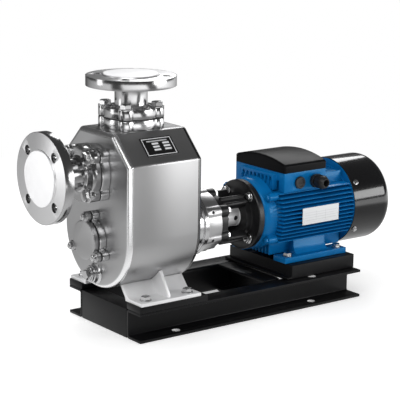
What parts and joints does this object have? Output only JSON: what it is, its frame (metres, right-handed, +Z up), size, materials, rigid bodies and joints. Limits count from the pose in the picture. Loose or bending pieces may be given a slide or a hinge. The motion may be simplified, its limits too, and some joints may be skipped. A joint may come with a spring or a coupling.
{
  "type": "self-priming centrifugal pump",
  "caption": "Self-priming stainless pump with side suction and top discharge flanges, lantern coupling and finned electric motor on a black steel base frame.",
  "frame": {"origin": "floor level under the middle of the whole set's bounding box", "axes": "+X along the shaft from the pump to the motor, +Z up, -Y the side with the cable entries"},
  "size_m": [0.7756, 0.236, 0.4688],
  "materials": {
    "stainless_steel": "brushed",
    "black_paint": "semi_gloss",
    "blue_paint": "gloss",
    "black_gloss": "gloss",
    "black_rubber": "matte",
    "white_plastic": "matte",
    "black_plastic": "satin",
    "silver_plate": "satin",
    "seal_ceramic": "smooth",
    "core_iron": "matte",
    "copper_winding": "satin"
  },
  "bodies": {
    "pump_and_motor": {"blanking_plug": "black_plastic", "cable_gland": "black_plastic", "casing_shell": "stainless_steel", "cleanout_cover": "stainless_steel", "cleanout_gasket": "black_rubber", "cleanout_ring": "stainless_steel", "discharge_blank_cover": "white_plastic", "discharge_body_flange": "stainless_steel", "discharge_gasket": "black_rubber", "discharge_nozzle": "stainless_steel", "drain_boss": "stainless_steel", "drain_plug": "stainless_steel", "drive_bearing": "stainless_steel", "drive_head": "stainless_steel", "drive_neck": "stainless_steel", "drive_shield": "blue_paint", "fan_cover": "black_gloss", "flap_pin": "stainless_steel", "front_channel": "black_paint", "front_motor_foot": "blue_paint", "front_pump_foot": "stainless_steel", "front_pump_pad": "black_paint", "front_winding": "copper_winding", "lantern": "black_paint", "left_cross_member": "black_paint", "middle_cross_member": "black_paint", "motor_barrel": "blue_paint", "motor_name_plate": "silver_plate", "motor_stand": "black_paint", "pump_name_plate": "silver_plate", "rear_bearing": "stainless_steel", "rear_channel": "black_paint", "rear_motor_foot": "blue_paint", "rear_pump_foot": "stainless_steel", "rear_pump_pad": "black_paint", "rear_shield": "blue_paint", "rear_winding": "copper_winding", "right_cross_member": "black_paint", "seal_plate": "stainless_steel", "seal_seat": "seal_ceramic", "stator_core": "core_iron", "suction_blank_cover": "white_plastic", "suction_body_flange": "stainless_steel", "suction_duct": "stainless_steel", "suction_gasket": "black_rubber", "suction_head": "stainless_steel", "suction_nozzle": "stainless_steel", "terminal_block": "black_plastic", "terminal_box": "blue_paint", "terminal_lid": "black_paint", "volute": "stainless_steel"},
    "rotor": {"pump_shaft": "stainless_steel", "motor_shaft": "stainless_steel", "coupling_sleeve": "stainless_steel", "impeller": "stainless_steel", "impeller_nut": "stainless_steel", "seal_ring": "black_paint", "rotor_core": "core_iron", "fan": "black_plastic"},
    "flap": {"check_flap": "black_rubber"}
  },
  "joints": [
    {"name": "rotor_spin", "type": "hinge", "parent": "pump_and_motor", "child": "rotor", "pos_m": [0, 0, 0.1732], "axis": [1, 0, 0], "continuous": true},
    {"name": "flap_swing", "type": "hinge", "parent": "pump_and_motor", "child": "flap", "pos_m": [-0.255, 0, 0.3397], "axis": [0, -1, 0], "range_deg": [0, 60]}
  ]
}
